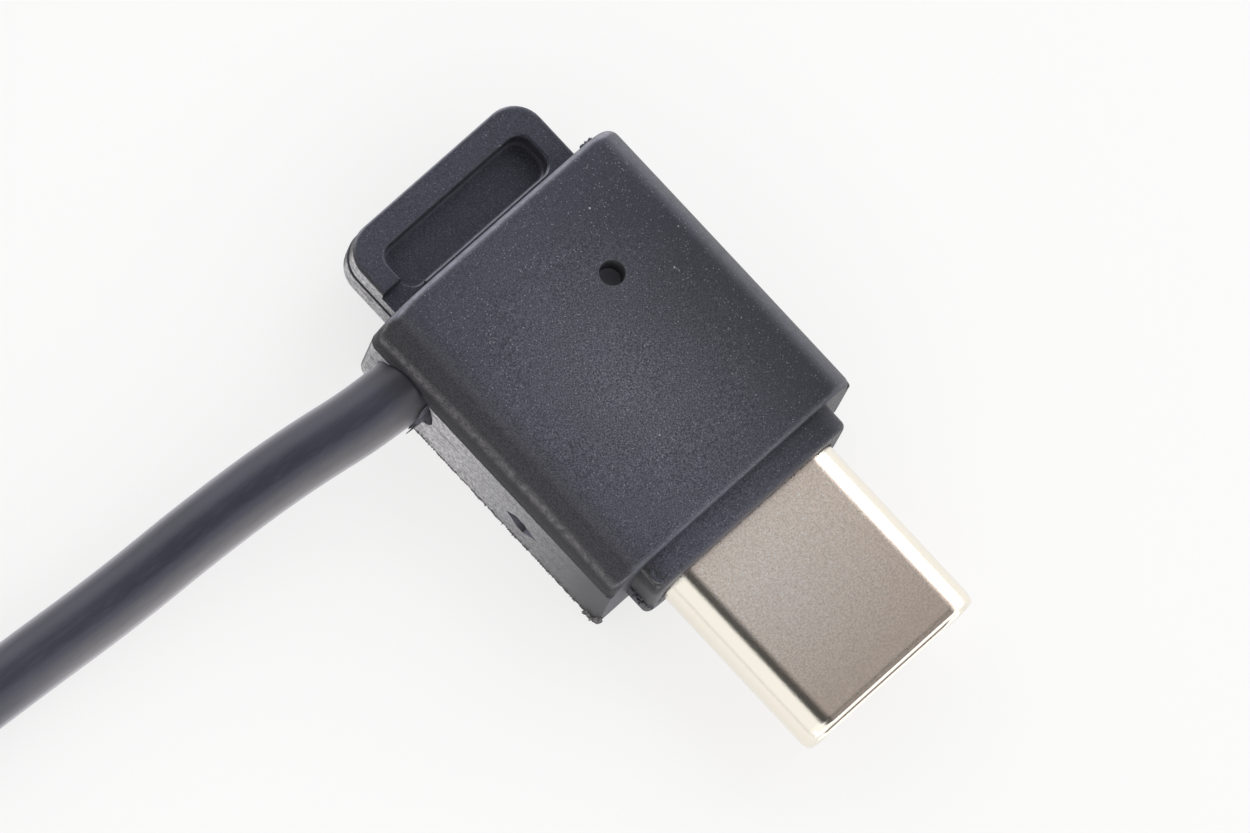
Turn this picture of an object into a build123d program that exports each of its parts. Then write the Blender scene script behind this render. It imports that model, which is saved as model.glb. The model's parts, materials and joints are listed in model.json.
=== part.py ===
from build123d import *
import math
import os

# Short lead with a right-angle USB-C plug and a plain 8-contact phone plug, lying on a table.
# Millimetres, +Z up. The USB-C plug points along -Y and its cable leaves the block towards -X.
# The origin is on the table, in the middle of the USB-C head's length and width.

# Moulded block of the USB-C end, with its collar in front
body_width = 12.0
body_length = 12.75
body_height = 5.2
body_top_round = 1.0
body_front_bevel = 0.15
body_rear_round = 0.4
collar_width = 9.5
collar_height = 4.1
collar_length = 1.05
collar_corner = 0.9
collar_front_bevel = 0.2

# Pull tab behind the block, its pocket and side notch
tab_width = 8.94
tab_length = 3.25
tab_thickness = 2.4
tab_bottom_z = 1.2
tab_corner = 1.2
tab_edge_bevel = 0.12
tab_root = 0.6
pocket_width = 7.0
pocket_depth = 0.8
pocket_corner = 0.5
pocket_rear_rim = 1.15
pocket_front_rim = 0.25
notch_length = 0.85
notch_depth = 0.45

# Pin hole in the top face and split in the left wall
pin_hole_diameter = 0.96
pin_hole_x = 1.95
pin_hole_from_rear = 4.17
split_length = 1.55
split_width = 0.6
split_depth = 0.5
split_from_rear = 8.45
split_z = 1.72

# Drawn steel shell of the USB-C plug
plug_exposed = 7.6
plug_width = 8.25
plug_thickness = 2.4
plug_embedded = 3.0
plug_wall = 0.3
plug_rim_round = 0.25

# Plastic and sprung pieces inside that shell
fit = 0.02
insulator_recess = 0.3
insulator_length = 5.9
slot_width = 6.9
slot_height = 0.95
slot_depth = 5.4
slot_lead_in = 0.12
contact_pitch = 0.5
contact_width = 0.25
contact_thickness = 0.15
contact_tip_setback = 1.2
contact_bump_setback = 2.0
contact_crest_setback = 3.7
contact_knee = 0.9
contact_bump_z = 0.36
contact_crest_z = 0.5
contact_tail = 1.0
groove_width = 0.33
groove_depth = 0.14
wafer_width = 6.6
wafer_length = 2.4
latch_thickness = 0.16
latch_arm_width = 0.3
latch_hook_reach = 0.26
latch_hook_length = 0.7
latch_setback = 1.5
latch_ear_length = 1.0
spring_width = 5.2
spring_length = 2.2
spring_thickness = 0.09
spring_setback = 2.3
spring_windows = 4
spring_window_pitch = 1.2
spring_window_width = 0.5
spring_window_length = 1.2

# Circuit board, the parts on it and the mould that grips them
board_width = 6.8
board_thickness = 0.6
board_rear_gap = 0.05
board_step_x = -2.5
board_step_gap = 0.5
resistor_size = (1.0, 0.5, 0.35)
resistor_place = (1.9, 5.2)
capacitor_size = (0.8, 0.45, 0.45)
capacitor_place = (-2.3, 4.6)
inner_side_wall = 1.4
inner_height = 3.0
inner_front_wall = 0.8
inner_rear_wall = 0.7
inner_corner = 0.4
chamber_height = 2.1
chamber_rear_wall = 0.6

# Cable and its cores
cable_diameter = 2.5
cable_hole_gap = 0.13
cable_from_rear = 2.05
jacket_bare = 0.2
core_diameter = 0.6
core_pitch = 0.66
core_land = 1.4
phone_core_land = 0.9

# Coil that holds the put-away length, and the tie round it
coil_x = -38.0
coil_y = 24.6
coil_diameter = 28.0
coil_turns_beside = 2
coil_layer_rise = 2.165
coil_shoulder = 1.9
coil_crown = 2.6
tie_width = 3.2
tie_thickness = 0.25

# Phone plug at the far end: grip and steel tongue
grip_length = 13.0
grip_width = 7.6
grip_height = 4.9
grip_corner = 1.1
grip_end_bevel = 0.35
tongue_width = 6.7
tongue_thickness = 1.5
tongue_exposed = 7.7
tongue_embedded = 2.2
tongue_corner = 1.3
tongue_edge_bevel = 0.25
detent_radius = 0.55
detent_depth = 0.3
detent_from_tip = 5.6

# Contacts of the phone plug
window_width = 5.1
window_length = 3.2
window_from_tip = 1.1
window_corner = 0.4
channel_width = 4.8
channel_height = 0.64
pad_pitch = 0.6
pad_width = 0.36
pad_length = 2.6
pad_thickness = 0.12
pads_per_side = 8

# Board and mould inside the grip
phone_board_width = 4.7
phone_board_length = 9.6
phone_board_thickness = 0.6
chip_size = (2.2, 2.2, 0.7)
chip_from_rear = 2.6
phone_inner_width = 5.9
phone_inner_height = 3.1
phone_inner_rear_wall = 1.4
phone_inner_front_wall = 1.2
phone_jacket_inside = 2.4
phone_chamber_width = 3.6
phone_chamber_height = 2.3

# Stations along Y, from the plug's tip to the end of the tab
head_length = plug_exposed + collar_length + body_length + tab_length
tip_y = -head_length / 2
collar_y = tip_y + plug_exposed
body_front_y = collar_y + collar_length
body_rear_y = body_front_y + body_length
shell_rear_y = collar_y + plug_embedded
insulator_y = tip_y + insulator_recess
wafer_y = insulator_y + insulator_length
board_y = wafer_y + wafer_length
inner_front_y = body_front_y + inner_front_wall
inner_rear_y = body_rear_y - inner_rear_wall
chamber_rear_y = inner_rear_y - chamber_rear_wall
board_rear_y = chamber_rear_y - board_rear_gap
cable_y = body_rear_y - cable_from_rear

# Heights, walls and sizes that follow from the others
plug_z = body_height / 2
tab_top_z = tab_bottom_z + tab_thickness
inner_bottom_z = plug_z - inner_height / 2
inner_top_z = plug_z + inner_height / 2
wall_x = -body_width / 2
inner_width = body_width - 2 * inner_side_wall
jacket_x = jacket_bare - board_width / 2
cavity_width = plug_width - 2 * plug_wall
cavity_height = plug_thickness - 2 * plug_wall
filling_width = cavity_width - 2 * fit
filling_height = cavity_height - 2 * fit
contact_z = (board_thickness + contact_thickness) / 2
wafer_height = (filling_height - latch_thickness) / 2
latch_arm_x = slot_width / 2 + fit + latch_arm_width / 2
cable_radius = cable_diameter / 2
core_radius = core_diameter / 2
phone_z = grip_height / 2

# Route of the lead, from inside the block to the coil, chosen by hand
lead_points = [
    (jacket_x, cable_y, plug_z),
    (-6.9, cable_y, plug_z),
    (-10.7, 7.60, 2.36),
    (-14.6, 7.98, 1.80),
    (-18.8, 8.16, 1.36),
    (-23.4, 8.66, 1.26),
    (-28.0, 9.05, 1.25),
    (-32.0, 9.28, 1.25),
]

# Route of the tail, from the coil's upper layer down to the phone plug, chosen by hand
tail_points = [
    (-31.4, 38.64, 3.55),
    (-27.4, 38.70, 3.10),
    (-23.4, 38.81, 2.64),
    (-19.2, 38.86, phone_z),
    (-15.4, 38.86, phone_z),
]
phone_jacket_x = tail_points[-1][0]
phone_y = tail_points[-1][1]

# Stations along X of the phone plug, from the grip's rear face to the tongue's tip
grip_x = phone_jacket_x - phone_jacket_inside
grip_front_x = grip_x + grip_length
tongue_rear_x = grip_front_x - tongue_embedded
tongue_tip_x = grip_front_x + tongue_exposed
window_x = tongue_tip_x - window_from_tip - window_length / 2
phone_board_front_x = window_x - window_length / 2
phone_board_x = phone_board_front_x - phone_board_length
phone_inner_x = grip_x + phone_inner_rear_wall
phone_inner_front_x = grip_front_x - phone_inner_front_wall


def across_head(y):
    """Plane across the USB-C plug at its middle height: X right, Z up, normal towards the tip."""
    return Plane(origin=(0, y, plug_z), x_dir=(1, 0, 0), z_dir=(0, -1, 0))


def level(z):
    """Level plane at a height."""
    return Plane.XY.offset(z)


def across_phone_plug(x):
    """Plane across the phone plug at its middle: Y right, Z up, normal towards the tongue's tip."""
    return Plane(origin=(x, phone_y, phone_z), x_dir=(0, 1, 0), z_dir=(1, 0, 0))


def through_coil(angle):
    """Upright plane from the coil's axis outwards at an angle: radius right, Z up."""
    outward = (math.cos(angle), math.sin(angle), 0)
    return Plane(origin=(coil_x, coil_y, 0), x_dir=outward, z_dir=(outward[1], -outward[0], 0))


def cord_radii(points):
    """Largest arc at each corner: 0.45 of the shorter run over the tangent of half the turn."""
    radii = []
    for before, corner, after in zip(points, points[1:], points[2:]):
        run_in = Vector(*corner) - Vector(*before)
        run_out = Vector(*after) - Vector(*corner)
        half_turn = math.radians(run_in.get_angle(run_out)) / 2
        radii.append(0.45 * min(run_in.length, run_out.length) / math.tan(half_turn))
    return radii


def finish(builder, name):
    """Label a piece and write it to its own file."""
    builder.part.label = name
    export_step(builder.part, f"parts/{name}.step")


os.makedirs("parts", exist_ok=True)

# Tie: a soft band bent round the coil's section, on the side away from the plugs
coil_half = coil_turns_beside * cable_radius
coil_height = cable_diameter + coil_layer_rise
coil_axis = Axis((coil_x, coil_y, 0), (0, 0, 1))
tie_arc = math.degrees(tie_width / (coil_diameter / 2))


def coil_section(spread, bottom, top):
    """Outline of the coil's section: turns side by side with one lying in the groove on top."""
    middle = coil_diameter / 2
    return Polyline(
        (middle - coil_half - spread, bottom),
        (middle + coil_half + spread, bottom),
        (middle + coil_half + spread, coil_shoulder),
        (middle + coil_crown / 2 + spread, top),
        (middle - coil_crown / 2 - spread, top),
        (middle - coil_half - spread, coil_shoulder),
        close=True,
    )


with BuildPart() as coil_tie:
    with BuildSketch(through_coil(math.pi - math.radians(tie_arc) / 2)):
        with BuildLine():
            coil_section(tie_thickness + fit, 0, coil_height + 2 * tie_thickness)
        make_face()
        with BuildLine():
            coil_section(fit, tie_thickness, coil_height + tie_thickness)
        make_face(mode=Mode.SUBTRACT)
    revolve(axis=coil_axis, revolution_arc=tie_arc)
finish(coil_tie, "coil_tie")

# Coil: the outer shape of its turns, nicked underneath where the tie passes
with BuildPart() as cable_coil:
    with BuildSketch(through_coil(0)):
        with BuildLine():
            coil_section(0, 0, coil_height)
        make_face()
    revolve(axis=coil_axis)
    add(coil_tie.part, mode=Mode.SUBTRACT)
finish(cable_coil, "cable_coil")


def cord_tube(name, points):
    """Jacket along hand-chosen points, joined by arcs, ending against the coil."""
    radii = cord_radii(points)
    with BuildPart() as tube:
        with BuildLine():
            route = FilletPolyline(*points, radius=radii)
        with BuildSketch(Plane(origin=route @ 0, z_dir=route % 0)):
            Circle(cable_radius)
        sweep(path=route)
        section_by_length = math.pi * cable_radius**2 * route.length
        print(name, "length", round(route.length, 2), "radii", [round(radius, 1) for radius in radii])
        print(name, "volume", round(tube.part.volume, 2), "section by length", round(section_by_length, 2))
        add(cable_coil.part, mode=Mode.SUBTRACT)
    finish(tube, name)
    return tube


cable_lead = cord_tube("cable_lead", lead_points)
cable_tail = cord_tube("cable_tail", tail_points)

# Plug shell: a drawn tube with a rounded front rim
with BuildPart() as usb_c_plug_shell:
    with BuildSketch(across_head(shell_rear_y)):
        SlotOverall(plug_width, plug_thickness)
        SlotOverall(cavity_width, cavity_height, mode=Mode.SUBTRACT)
    extrude(amount=shell_rear_y - tip_y)
    front_rim = usb_c_plug_shell.faces().sort_by(Axis.Y)[0].outer_wire()
    fillet(front_rim.edges(), plug_rim_round)
finish(usb_c_plug_shell, "usb_c_plug_shell")

# Contacts: rows A above and B below, each a sprung strip with its bump near the slot's mouth
upper_pins = [1, 4, 5, 6, 7, 9, 12]
lower_pins = [1, 4, 5, 9, 12]
middle_pin = 6.5
contact_rows = (("a", 1, upper_pins), ("b", -1, lower_pins))


def contact_strip(side, pin):
    """One contact: side is 1 above the slot and -1 below it."""
    place = side * (middle_pin - pin) * contact_pitch
    profile = Plane(origin=(place, 0, plug_z), x_dir=(0, 1, 0), z_dir=(1, 0, 0))
    spine = [
        (board_y + contact_tail, contact_z),
        (wafer_y - contact_knee, contact_z),
        (tip_y + contact_crest_setback, contact_crest_z),
        (tip_y + contact_bump_setback, contact_bump_z),
        (tip_y + contact_tip_setback, contact_crest_z),
    ]
    half = contact_thickness / 2
    outer = [(y, side * (z + half)) for y, z in spine]
    inner = [(y, side * (z - half)) for y, z in reversed(spine)]
    with BuildPart() as strip:
        with BuildSketch(profile):
            with BuildLine():
                Polyline(*outer, *inner, close=True)
            make_face()
        extrude(amount=contact_width / 2, both=True)
    return strip


contacts = {}
for row, side, pins in contact_rows:
    for pin in pins:
        name = f"usb_c_contact_{row}{pin}"
        contacts[name] = (side, contact_strip(side, pin))
        finish(contacts[name][1], name)

# Front insulator: fills the shell, with the mating slot, contact grooves and latch slots
groove_top = slot_height / 2 + groove_depth
groove_bottom = contact_z - contact_thickness / 2 - fit
groove_front_y = tip_y + contact_tip_setback - fit
latch_front_y = tip_y + latch_setback
spring_y = tip_y + spring_setback + spring_length / 2
spring_seat = filling_height / 2 - spring_thickness - fit
groove_places = [
    (side * (middle_pin - pin) * contact_pitch, side * (groove_top + groove_bottom) / 2)
    for row, side, pins in contact_rows
    for pin in pins
]
with BuildPart() as usb_c_insulator:
    with BuildSketch(across_head(wafer_y)):
        SlotOverall(filling_width, filling_height)
    extrude(amount=insulator_length)
    with BuildSketch(across_head(insulator_y + slot_depth)):
        Rectangle(slot_width, slot_height)
    extrude(amount=slot_depth, mode=Mode.SUBTRACT)
    slot_mouth = usb_c_insulator.faces().sort_by(Axis.Y)[0].inner_wires()[0]
    chamfer(slot_mouth.edges(), slot_lead_in)
    with BuildSketch(across_head(wafer_y)):
        with Locations(*groove_places):
            Rectangle(groove_width, groove_top - groove_bottom)
    extrude(amount=wafer_y - groove_front_y, mode=Mode.SUBTRACT)
    with BuildSketch(across_head(wafer_y)):
        with Locations((-latch_arm_x, 0), (latch_arm_x, 0)):
            Rectangle(latch_arm_width + 2 * fit, latch_thickness + 2 * fit)
    extrude(amount=wafer_y - latch_front_y + fit, mode=Mode.SUBTRACT)
    for side in (1, -1):
        with BuildSketch(level(plug_z + side * spring_seat)):
            with Locations((0, spring_y)):
                Rectangle(spring_width + 2 * fit, spring_length + 2 * fit)
        extrude(amount=side * plug_wall, mode=Mode.SUBTRACT)
finish(usb_c_insulator, "usb_c_insulator")

# Ground springs: thin windowed plates between the insulator and the shell
for name, side in (("usb_c_upper_ground_spring", 1), ("usb_c_lower_ground_spring", -1)):
    with BuildPart() as ground_spring:
        with BuildSketch(level(plug_z + side * spring_seat)):
            with Locations((0, spring_y)):
                Rectangle(spring_width, spring_length)
                with GridLocations(spring_window_pitch, 0, spring_windows, 1):
                    Rectangle(spring_window_width, spring_window_length, mode=Mode.SUBTRACT)
        extrude(amount=side * spring_thickness)
    finish(ground_spring, name)

# Latch plate: a steel sheet between the wafers, with a hooked arm along each side of the slot
latch_outer_x = latch_arm_x + latch_arm_width / 2
with BuildPart() as usb_c_latch_plate:
    with BuildSketch(level(plug_z - latch_thickness / 2)):
        with Locations((0, (wafer_y + board_y) / 2)):
            Rectangle(wafer_width, wafer_length)
        with Locations((0, wafer_y + latch_ear_length / 2)):
            Rectangle(2 * latch_outer_x, latch_ear_length)
        with Locations((-latch_arm_x, wafer_y), (latch_arm_x, wafer_y)):
            Rectangle(latch_arm_width, wafer_y - latch_front_y, align=(Align.CENTER, Align.MAX))
        for side in (1, -1):
            with Locations((side * latch_outer_x, latch_front_y)):
                hook_width = latch_arm_width + latch_hook_reach
                align = (Align.MAX if side > 0 else Align.MIN, Align.MIN)
                Rectangle(hook_width, latch_hook_length, align=align)
    extrude(amount=latch_thickness)
finish(usb_c_latch_plate, "usb_c_latch_plate")

# Contact wafers: the strips are moulded into one block above the latch plate and one below
for name, side in (("usb_c_upper_wafer", 1), ("usb_c_lower_wafer", -1)):
    with BuildPart() as wafer:
        with BuildSketch(across_head(board_y)):
            SlotOverall(filling_width, filling_height)
            with Locations((0, side * (latch_thickness + wafer_height) / 2)):
                Rectangle(wafer_width, wafer_height, mode=Mode.INTERSECT)
        extrude(amount=wafer_length)
        for strip_side, strip in contacts.values():
            if strip_side == side:
                add(strip.part, mode=Mode.SUBTRACT)
    finish(wafer, name)

# Circuit board from the contact tails back to the cores, stepped in beside the jacket
board_step_y = cable_y - cable_diameter / 2 - board_step_gap
with BuildPart() as usb_c_board:
    with BuildSketch(level(plug_z - board_thickness / 2)):
        with BuildLine():
            Polyline(
                (-board_width / 2, board_y),
                (board_width / 2, board_y),
                (board_width / 2, board_rear_y),
                (board_step_x, board_rear_y),
                (board_step_x, board_step_y),
                (-board_width / 2, board_step_y),
                close=True,
            )
        make_face()
    extrude(amount=board_thickness)
finish(usb_c_board, "usb_c_board")

# Small parts on the board's upper side
for name, size, place in (
    ("usb_c_resistor", resistor_size, resistor_place),
    ("usb_c_capacitor", capacitor_size, capacitor_place),
):
    with BuildPart() as board_part:
        with BuildSketch(level(plug_z + board_thickness / 2)):
            with Locations((place[0], board_y + place[1])):
                Rectangle(size[0], size[1])
        extrude(amount=size[2])
    finish(board_part, name)

# Cores of the USB-C end: straight from the jacket to pads above and below the board
core_places = (("red", 1, 1), ("white", -1, 1), ("black", 1, -1), ("green", -1, -1))
for colour, row, up in core_places:
    core_y = cable_y + row * core_pitch / 2
    core_z = plug_z + up * (board_thickness / 2 + core_radius)
    with BuildPart() as core:
        with BuildSketch(Plane(origin=(jacket_x, core_y, core_z), z_dir=(1, 0, 0))):
            Circle(core_radius)
        extrude(amount=board_step_x + core_land - jacket_x)
    finish(core, f"usb_c_{colour}_core")

# Inner mould of the USB-C end: grips the shell's rear, the board's edges and the jacket
with BuildPart() as usb_c_inner_mould:
    with BuildSketch(level(inner_bottom_z)):
        with Locations((0, (inner_front_y + inner_rear_y) / 2)):
            RectangleRounded(inner_width, inner_rear_y - inner_front_y, inner_corner)
    extrude(amount=inner_height)
    with BuildSketch(across_head(shell_rear_y)):
        SlotOverall(plug_width, plug_thickness)
    extrude(amount=plug_embedded, mode=Mode.SUBTRACT)
    with BuildSketch(Plane(origin=(wall_x, cable_y, plug_z), z_dir=(1, 0, 0))):
        Circle(cable_radius + fit)
    extrude(amount=jacket_x - wall_x, mode=Mode.SUBTRACT)
    with BuildSketch(across_head(chamber_rear_y)):
        Rectangle(board_width, chamber_height)
    extrude(amount=chamber_rear_y - shell_rear_y, mode=Mode.SUBTRACT)
finish(usb_c_inner_mould, "usb_c_inner_mould")

# Overmould of the USB-C end: block, collar, tab, pocket, notch, holes and split in one moulding
pocket_length = tab_length - pocket_front_rim - pocket_rear_rim
with BuildPart() as usb_c_overmould:
    with BuildSketch(across_head(body_rear_y)) as block_section:
        Rectangle(body_width, body_height)
        fillet(block_section.vertices().group_by(Axis.Y)[-1], body_top_round)
    extrude(amount=body_length)
    chamfer(usb_c_overmould.faces().sort_by(Axis.Y)[0].edges(), body_front_bevel)
    rear_edges = usb_c_overmould.faces().sort_by(Axis.Y)[-1].edges()
    fillet(rear_edges.filter_by(lambda edge: edge.center().Z > 0), body_rear_round)
    with BuildSketch(across_head(body_front_y)):
        RectangleRounded(collar_width, collar_height, collar_corner)
    extrude(amount=collar_length)
    chamfer(usb_c_overmould.faces().sort_by(Axis.Y)[0].edges(), collar_front_bevel)
    with BuildSketch(level(tab_bottom_z)) as tab_outline:
        with Locations((0, body_rear_y - tab_root)):
            Rectangle(tab_width, tab_length + tab_root, align=(Align.CENTER, Align.MIN))
        fillet(tab_outline.vertices().group_by(Axis.Y)[-1], tab_corner)
    extrude(amount=tab_thickness)
    tab_edges = usb_c_overmould.edges().filter_by(lambda edge: edge.center().Y > body_rear_y)
    chamfer(tab_edges.group_by(Axis.Z)[0] + tab_edges.group_by(Axis.Z)[-1], tab_edge_bevel)
    with BuildSketch(level(tab_top_z)):
        with Locations((0, body_rear_y + pocket_front_rim + pocket_length / 2)):
            RectangleRounded(pocket_width, pocket_length, pocket_corner)
    extrude(amount=-pocket_depth, mode=Mode.SUBTRACT)
    with BuildSketch(level(tab_top_z)):
        with Locations((-pocket_width / 2 + pocket_corner, body_rear_y)):
            Rectangle(tab_width, notch_length, align=(Align.MAX, Align.MIN))
    extrude(amount=-notch_depth, mode=Mode.SUBTRACT)
    with BuildSketch(level(body_height)):
        with Locations((pin_hole_x, body_rear_y - pin_hole_from_rear)):
            Circle(pin_hole_diameter / 2)
    extrude(amount=inner_top_z - body_height, mode=Mode.SUBTRACT)
    split_middle = (wall_x, body_rear_y - split_from_rear, split_z)
    with BuildSketch(Plane(origin=split_middle, x_dir=(0, 1, 0), z_dir=(1, 0, 0))):
        with BuildLine():
            ThreePointArc((-split_length / 2, 0), (0, split_width / 2), (split_length / 2, 0))
            ThreePointArc((split_length / 2, 0), (0, -split_width / 2), (-split_length / 2, 0))
        make_face()
    extrude(amount=split_depth, mode=Mode.SUBTRACT)
    with BuildSketch(level(inner_bottom_z)):
        with Locations((0, (inner_front_y + inner_rear_y) / 2)):
            RectangleRounded(inner_width, inner_rear_y - inner_front_y, inner_corner)
    extrude(amount=inner_height, mode=Mode.SUBTRACT)
    with BuildSketch(across_head(shell_rear_y)):
        SlotOverall(plug_width, plug_thickness)
    extrude(amount=shell_rear_y - collar_y, mode=Mode.SUBTRACT)
    with BuildSketch(Plane(origin=(wall_x, cable_y, plug_z), z_dir=(1, 0, 0))):
        Circle(cable_radius + cable_hole_gap)
    extrude(amount=inner_side_wall, mode=Mode.SUBTRACT)
finish(usb_c_overmould, "usb_c_overmould")

# Tongue of the phone plug: one steel frame with side detents, a window and a channel for the board
detent_x = tongue_tip_x - detent_from_tip
detent_y = tongue_width / 2 + detent_radius - detent_depth
with BuildPart() as phone_plug_tongue:
    with BuildSketch(Plane(origin=(tongue_rear_x, phone_y, phone_z - tongue_thickness / 2))) as tongue_outline:
        Rectangle(tongue_embedded + tongue_exposed, tongue_width, align=(Align.MIN, Align.CENTER))
        fillet(tongue_outline.vertices().group_by(Axis.X)[-1], tongue_corner)
    extrude(amount=tongue_thickness)
    flat_faces = phone_plug_tongue.faces().filter_by(Axis.Z)
    chamfer(flat_faces.edges(), tongue_edge_bevel)
    with BuildSketch(level(phone_z)):
        with Locations((detent_x, phone_y - detent_y), (detent_x, phone_y + detent_y)):
            Circle(detent_radius)
    extrude(amount=tongue_thickness, both=True, mode=Mode.SUBTRACT)
    with BuildSketch(level(phone_z)):
        with Locations((window_x, phone_y)):
            RectangleRounded(window_length, window_width, window_corner)
    extrude(amount=tongue_thickness, both=True, mode=Mode.SUBTRACT)
    with BuildSketch(across_phone_plug(tongue_rear_x)):
        Rectangle(channel_width, channel_height)
    extrude(amount=window_x - tongue_rear_x, mode=Mode.SUBTRACT)
finish(phone_plug_tongue, "phone_plug_tongue")

# Contact pads: a row let into each face of the insert
pads = {}
for row, side in (("upper", 1), ("lower", -1)):
    for number in range(1, pads_per_side + 1):
        pad_y = phone_y + (number - (pads_per_side + 1) / 2) * pad_pitch
        with BuildPart() as pad:
            with BuildSketch(level(phone_z + side * tongue_thickness / 2)):
                with Locations((window_x, pad_y)):
                    Rectangle(pad_length, pad_width)
            extrude(amount=-side * pad_thickness)
        name = f"phone_plug_{row}_pad_{number}"
        pads[name] = pad
        finish(pad, name)

# Contact insert: fills the window, flush with both faces of the tongue
with BuildPart() as phone_plug_insert:
    with BuildSketch(level(phone_z - tongue_thickness / 2)):
        with Locations((window_x, phone_y)):
            RectangleRounded(window_length - fit, window_width - 2 * fit, window_corner)
    extrude(amount=tongue_thickness)
    for pad in pads.values():
        add(pad.part, mode=Mode.SUBTRACT)
finish(phone_plug_insert, "phone_plug_insert")

# Board of the phone plug, from the insert back into the grip, and the chip on it
with BuildPart() as phone_plug_board:
    with BuildSketch(across_phone_plug(phone_board_x)):
        Rectangle(phone_board_width, phone_board_thickness)
    extrude(amount=phone_board_length)
finish(phone_plug_board, "phone_plug_board")

with BuildPart() as phone_plug_chip:
    with BuildSketch(level(phone_z + phone_board_thickness / 2)):
        with Locations((phone_board_x + chip_from_rear, phone_y)):
            Rectangle(chip_size[0], chip_size[1])
    extrude(amount=chip_size[2])
finish(phone_plug_chip, "phone_plug_chip")

# Cores of the phone plug: straight from the jacket to the board's rear pads
for colour, row, up in core_places:
    core_y = phone_y + row * core_pitch / 2
    core_z = phone_z + up * (phone_board_thickness / 2 + core_radius)
    with BuildPart() as core:
        with BuildSketch(Plane(origin=(phone_jacket_x, core_y, core_z), z_dir=(1, 0, 0))):
            Circle(core_radius)
        extrude(amount=phone_board_x + phone_core_land - phone_jacket_x)
    finish(core, f"phone_plug_{colour}_core")

# Inner mould of the phone plug: grips the tongue's rear and the jacket round a chamber for the board
with BuildPart() as phone_plug_inner_mould:
    with BuildSketch(across_phone_plug(phone_inner_x)):
        Rectangle(phone_inner_width, phone_inner_height)
    extrude(amount=phone_inner_front_x - phone_inner_x)
    with BuildSketch(across_phone_plug(tongue_rear_x)):
        Rectangle(tongue_width, tongue_thickness)
    extrude(amount=tongue_embedded, mode=Mode.SUBTRACT)
    with BuildSketch(across_phone_plug(grip_x)):
        Circle(cable_radius + fit)
    extrude(amount=phone_jacket_inside, mode=Mode.SUBTRACT)
    with BuildSketch(across_phone_plug(phone_jacket_x)):
        Rectangle(phone_chamber_width, phone_chamber_height)
        Rectangle(phone_board_width, phone_board_thickness)
    extrude(amount=tongue_rear_x - phone_jacket_x, mode=Mode.SUBTRACT)
finish(phone_plug_inner_mould, "phone_plug_inner_mould")

# Grip of the phone plug
with BuildPart() as phone_plug_grip:
    with BuildSketch(across_phone_plug(grip_x)):
        RectangleRounded(grip_width, grip_height, grip_corner)
    extrude(amount=grip_length)
    end_faces = phone_plug_grip.faces().filter_by(Axis.X)
    chamfer(end_faces.edges(), grip_end_bevel)
    with BuildSketch(across_phone_plug(phone_inner_x)):
        Rectangle(phone_inner_width, phone_inner_height)
    extrude(amount=phone_inner_front_x - phone_inner_x, mode=Mode.SUBTRACT)
    with BuildSketch(across_phone_plug(tongue_rear_x)) as tongue_section:
        Rectangle(tongue_width, tongue_thickness)
        chamfer(tongue_section.vertices(), tongue_edge_bevel)
    extrude(amount=tongue_embedded, mode=Mode.SUBTRACT)
    with BuildSketch(across_phone_plug(grip_x)):
        Circle(cable_radius + fit)
    extrude(amount=phone_inner_rear_wall, mode=Mode.SUBTRACT)
finish(phone_plug_grip, "phone_plug_grip")
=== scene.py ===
import math

import bmesh
import bpy
from mathutils import Matrix, Vector, noise
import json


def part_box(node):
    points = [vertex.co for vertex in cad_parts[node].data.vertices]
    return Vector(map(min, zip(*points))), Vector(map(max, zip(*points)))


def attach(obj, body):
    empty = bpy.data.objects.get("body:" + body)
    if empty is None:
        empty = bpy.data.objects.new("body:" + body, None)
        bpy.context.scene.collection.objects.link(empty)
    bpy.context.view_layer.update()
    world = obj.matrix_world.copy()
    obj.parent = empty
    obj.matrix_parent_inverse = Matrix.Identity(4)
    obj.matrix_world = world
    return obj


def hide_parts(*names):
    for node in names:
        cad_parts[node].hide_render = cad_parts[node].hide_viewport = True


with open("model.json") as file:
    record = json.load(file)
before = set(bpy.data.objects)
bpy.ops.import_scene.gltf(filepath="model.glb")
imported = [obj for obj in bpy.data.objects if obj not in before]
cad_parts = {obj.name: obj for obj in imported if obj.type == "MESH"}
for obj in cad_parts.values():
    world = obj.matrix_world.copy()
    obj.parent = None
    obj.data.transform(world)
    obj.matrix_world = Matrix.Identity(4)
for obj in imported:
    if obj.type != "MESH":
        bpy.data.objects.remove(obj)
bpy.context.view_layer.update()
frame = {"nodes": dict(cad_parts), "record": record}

# Lengths below are millimetres in the part's own frame; MM turns them into metres.
MM = 0.001

# Moulded head
BLOCK_HALF = 6.0
BLOCK_FRONT = -3.675
BLOCK_REAR = 9.075
BLOCK_TOP = 5.2
PLUG_Z = 2.6
COLLAR_FRONT = -4.725
PLUG_TIP = -12.325
SHELL_REAR = -1.725
TAB_REAR = 12.325
TAB_LOW = 1.2
TAB_TOP = 3.6
TAB_HALF = 4.47
PARTING_Z = 3.62
COLLAR_HALF = 4.75
COLLAR_RISE = 2.05
PIN_HOLE = (1.95, BLOCK_REAR - 4.17)

# Plug shell
SHELL_WIDTH = 8.25
SHELL_HEIGHT = 2.4
SHELL_WALL = 0.3

# Cable
CABLE_Y = 7.025
CABLE_RADIUS = 1.25
WALL_X = -6.0

# Put-away coil and its tie
COIL_CENTRE = (-38.0, 24.6)
OUTER_TURN = 15.25
INNER_TURN = 12.75
TOP_TURN = 14.0
TOP_LAYER_Z = 3.415
TIE_THICK = 0.25
TIE_LIFT = TIE_THICK + 0.03

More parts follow.
